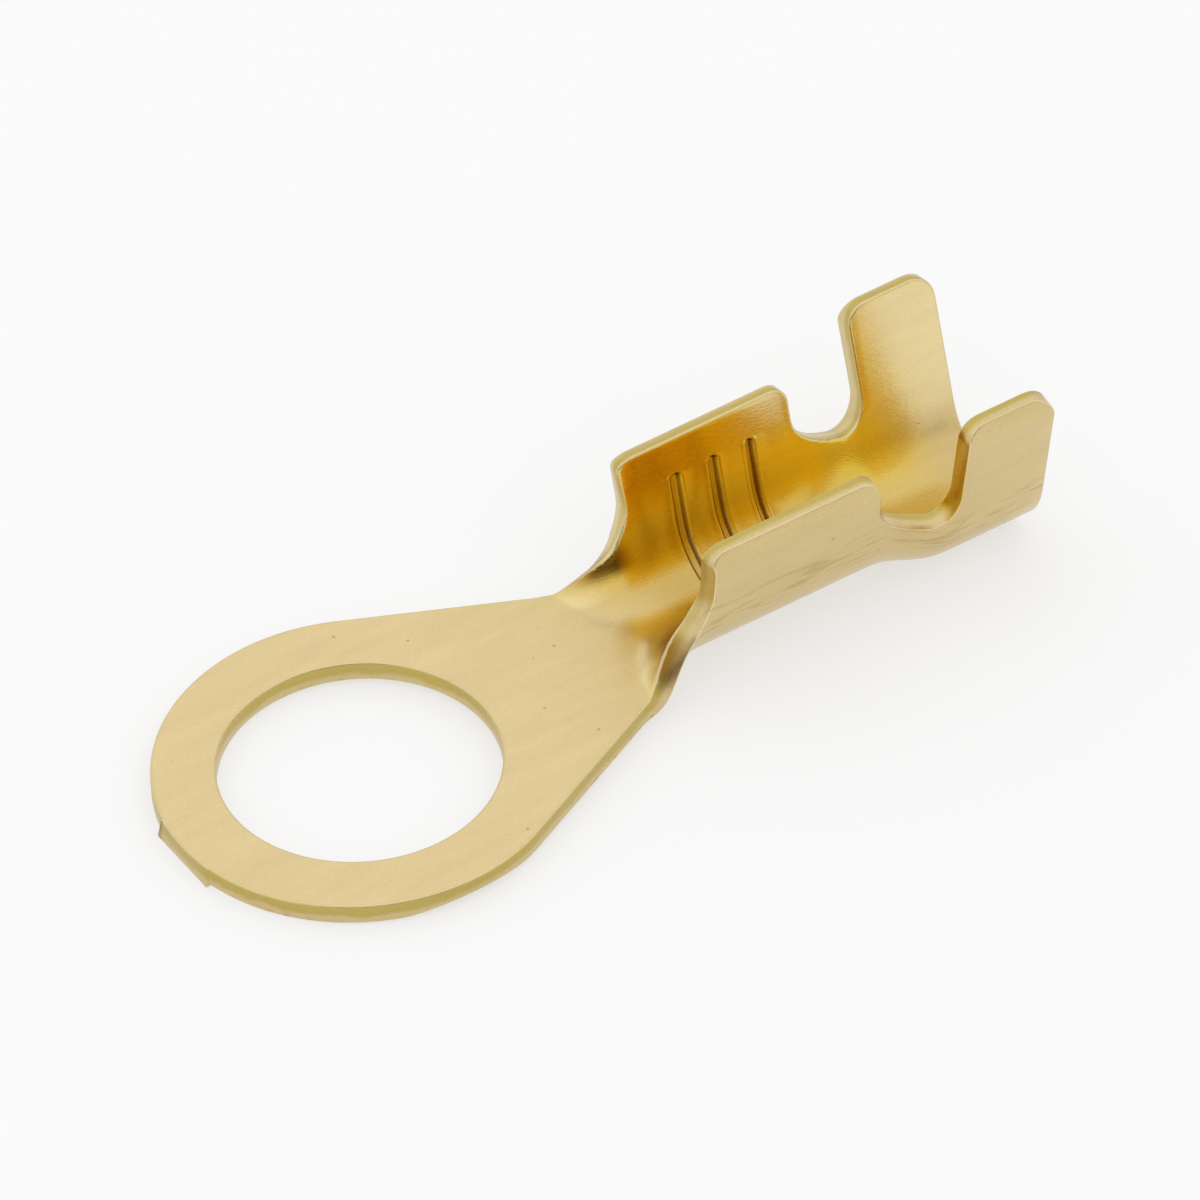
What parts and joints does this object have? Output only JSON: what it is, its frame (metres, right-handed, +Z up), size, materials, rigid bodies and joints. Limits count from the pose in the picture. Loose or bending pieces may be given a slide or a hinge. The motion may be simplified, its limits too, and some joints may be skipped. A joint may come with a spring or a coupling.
{
  "type": "open-barrel ring terminal",
  "caption": "Flat brass ring for a stud, whose tongue folds up into an open wire barrel with serrations and a wider open insulation barrel.",
  "frame": {"origin": "centre of the stud hole, on the underside of the ring", "axes": "+X from the ring along the wire barrel to the insulation barrel, +Z up through the stud hole, the way the barrel wings point"},
  "size_m": [0.021, 0.009, 0.0049],
  "materials": {
    "brass": "satin rolled brass sheet with sheared edges"
  },
  "bodies": {
    "root": {"ring_terminal": "brass"}
  },
  "joints": []
}
